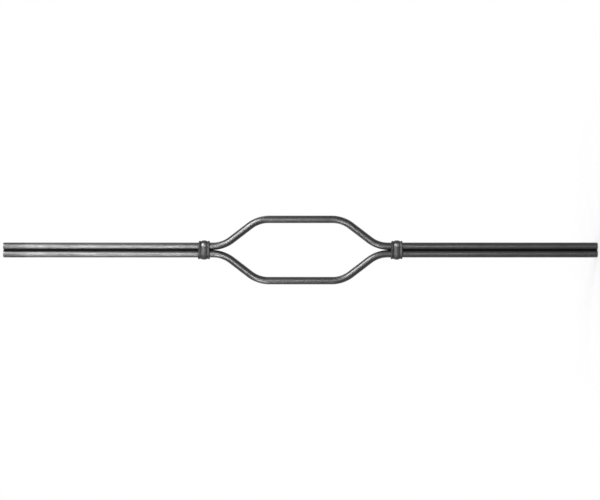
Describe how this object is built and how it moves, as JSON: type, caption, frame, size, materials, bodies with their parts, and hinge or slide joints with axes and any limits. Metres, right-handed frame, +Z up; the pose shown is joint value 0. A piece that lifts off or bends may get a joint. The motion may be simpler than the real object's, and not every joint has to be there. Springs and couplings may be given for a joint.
{
  "type": "wrought iron baluster",
  "caption": "Stair baluster of paired round bars that bend apart into a long open hexagon at mid-height, bound by a moulded collar above and below it.",
  "frame": {"origin": "at the foot, midway between the lower end faces of the two bars, as the baluster stands in a stair rail", "axes": "+Z up along the baluster, +X from the left bar to the right bar as seen from the front, +Y to the back, where the collars' seams are"},
  "size_m": [0.11, 0.019, 0.95],
  "materials": {
    "bar_steel": "satin",
    "collar_steel": "satin"
  },
  "bodies": {
    "root": {"bar_left": "bar_steel", "bar_right": "bar_steel", "collar_lower": "collar_steel", "collar_upper": "collar_steel"}
  },
  "joints": []
}
